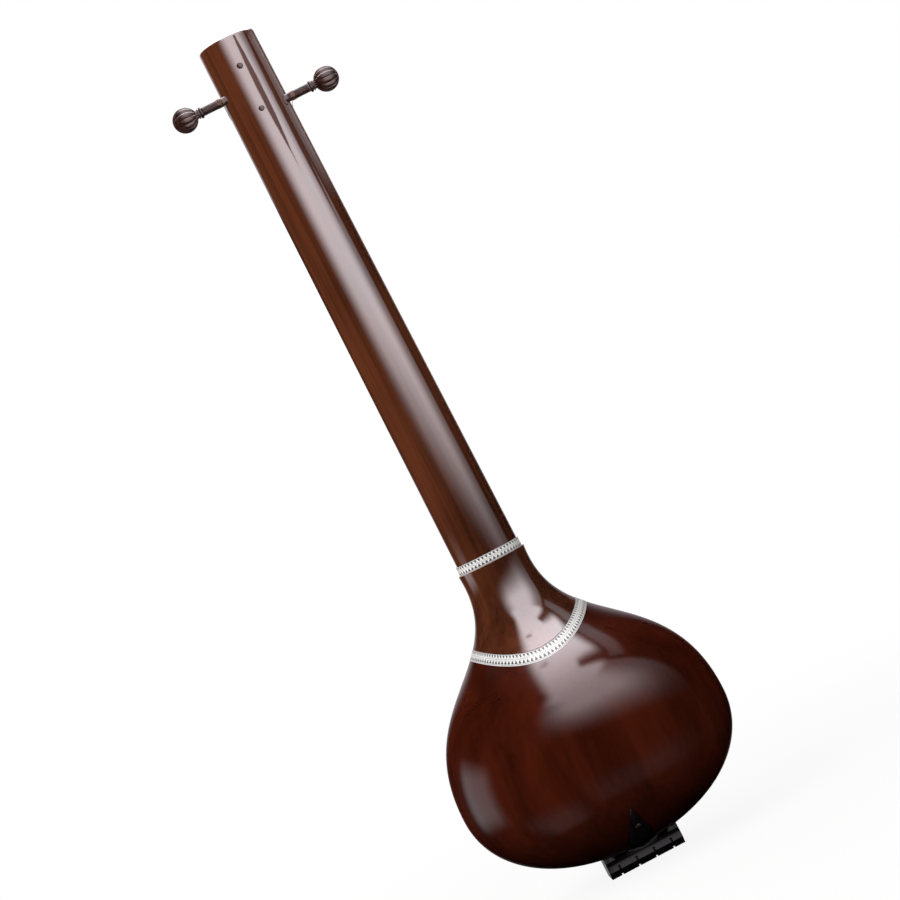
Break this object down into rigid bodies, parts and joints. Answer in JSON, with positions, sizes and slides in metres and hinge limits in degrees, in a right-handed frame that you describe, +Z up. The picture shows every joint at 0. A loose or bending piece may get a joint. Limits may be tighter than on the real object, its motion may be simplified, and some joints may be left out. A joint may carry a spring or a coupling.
{
  "type": "tanpura",
  "caption": "Long-necked drone lute with a gourd-shaped resonator, ribbed tuning pegs, inlaid bands, bridge, tuning beads and a flat-footed tail block.",
  "frame": {"origin": "centre of the tail block's flat foot", "axes": "+Z up along the neck, -Y out of the soundboard on the string side, +X completes the frame; strings one to four run from -X to +X"},
  "size_m": [0.3768, 0.305, 1.2],
  "materials": {
    "lacquered_wood": "glossy dark reddish-brown lacquer over straight-grained wood",
    "board_wood": "glossy reddish-brown lacquer over quarter-sawn wood",
    "raw_wood": "sawn, unfinished wood",
    "peg_wood": "turned and carved dark rosewood, waxed",
    "black_wood": "polished black wood",
    "ivory_inlay": "white celluloid strip with engraved and inked ornament",
    "bone": "sanded bone or bone-white plastic",
    "pin_brass": "aged brass",
    "screw_steel": "plain steel",
    "steel_wire": "drawn steel wire",
    "bronze_wire": "drawn bronze wire",
    "bead_glass": "polished cream bead",
    "cotton_thread": "twisted cotton thread"
  },
  "bodies": {
    "root": {"gourd": "lacquered_wood", "shoulder": "lacquered_wood", "neck": "lacquered_wood", "neck_faceplate": "board_wood", "soundboard": "board_wood", "soundboard_binding": "ivory_inlay", "neck_band": "ivory_inlay", "gourd_band": "ivory_inlay", "neck_joint_block": "raw_wood", "inner_tail_block": "raw_wood", "tail_block": "black_wood", "tail_leaf": "black_wood", "block_screw_left": "screw_steel", "block_screw_right": "screw_steel", "block_pin_left": "pin_brass", "block_pin_right": "pin_brass", "leaf_screw": "pin_brass", "tail_saddle": "bone", "bridge_base": "peg_wood", "bridge_plate": "bone", "string_nut": "bone", "string_guide": "bone", "hitch_pin_1": "pin_brass", "hitch_pin_2": "pin_brass", "hitch_pin_3": "pin_brass", "hitch_pin_4": "pin_brass", "string_1": "bronze_wire", "bridge_thread_1": "cotton_thread", "string_2": "steel_wire", "bridge_thread_2": "cotton_thread", "string_3": "steel_wire", "bridge_thread_3": "cotton_thread", "string_4": "bronze_wire", "bridge_thread_4": "cotton_thread"},
    "peg_front_lower": {"peg_front_lower": "peg_wood", "winding_3": "steel_wire"},
    "peg_front_upper": {"peg_front_upper": "peg_wood", "winding_2": "steel_wire"},
    "peg_side_lower": {"peg_side_lower": "peg_wood", "winding_1": "bronze_wire"},
    "peg_side_upper": {"peg_side_upper": "peg_wood", "winding_4": "bronze_wire"},
    "tuning_bead_1": {"tuning_bead_1": "bead_glass"},
    "tuning_bead_2": {"tuning_bead_2": "bead_glass"},
    "tuning_bead_3": {"tuning_bead_3": "bead_glass"},
    "tuning_bead_4": {"tuning_bead_4": "bead_glass"}
  },
  "joints": [
    {"name": "peg_front_lower_turn", "type": "hinge", "parent": "root", "child": "peg_front_lower", "pos_m": [0, -0.064, 1.095], "axis": [0, -1, 0], "continuous": true},
    {"name": "peg_front_upper_turn", "type": "hinge", "parent": "root", "child": "peg_front_upper", "pos_m": [0, -0.064, 1.157], "axis": [0, -1, 0], "continuous": true},
    {"name": "peg_side_lower_turn", "type": "hinge", "parent": "root", "child": "peg_side_lower", "pos_m": [-0.03686, -0.039, 1.095], "axis": [-1, 0, 0], "continuous": true},
    {"name": "peg_side_upper_turn", "type": "hinge", "parent": "root", "child": "peg_side_upper", "pos_m": [0.03668, -0.039, 1.128], "axis": [1, 0, 0], "continuous": true},
    {"name": "tuning_bead_1_slide", "type": "slide", "parent": "root", "child": "tuning_bead_1", "axis": [0.0785, -0.3136, 0.9463], "range_m": [-0.03, 0.035]},
    {"name": "tuning_bead_2_slide", "type": "slide", "parent": "root", "child": "tuning_bead_2", "axis": [0.0262, -0.3145, 0.9489], "range_m": [-0.03, 0.035]},
    {"name": "tuning_bead_3_slide", "type": "slide", "parent": "root", "child": "tuning_bead_3", "axis": [-0.0262, -0.3145, 0.9489], "range_m": [-0.03, 0.035]},
    {"name": "tuning_bead_4_slide", "type": "slide", "parent": "root", "child": "tuning_bead_4", "axis": [-0.0785, -0.3136, 0.9463], "range_m": [-0.03, 0.035]}
  ]
}
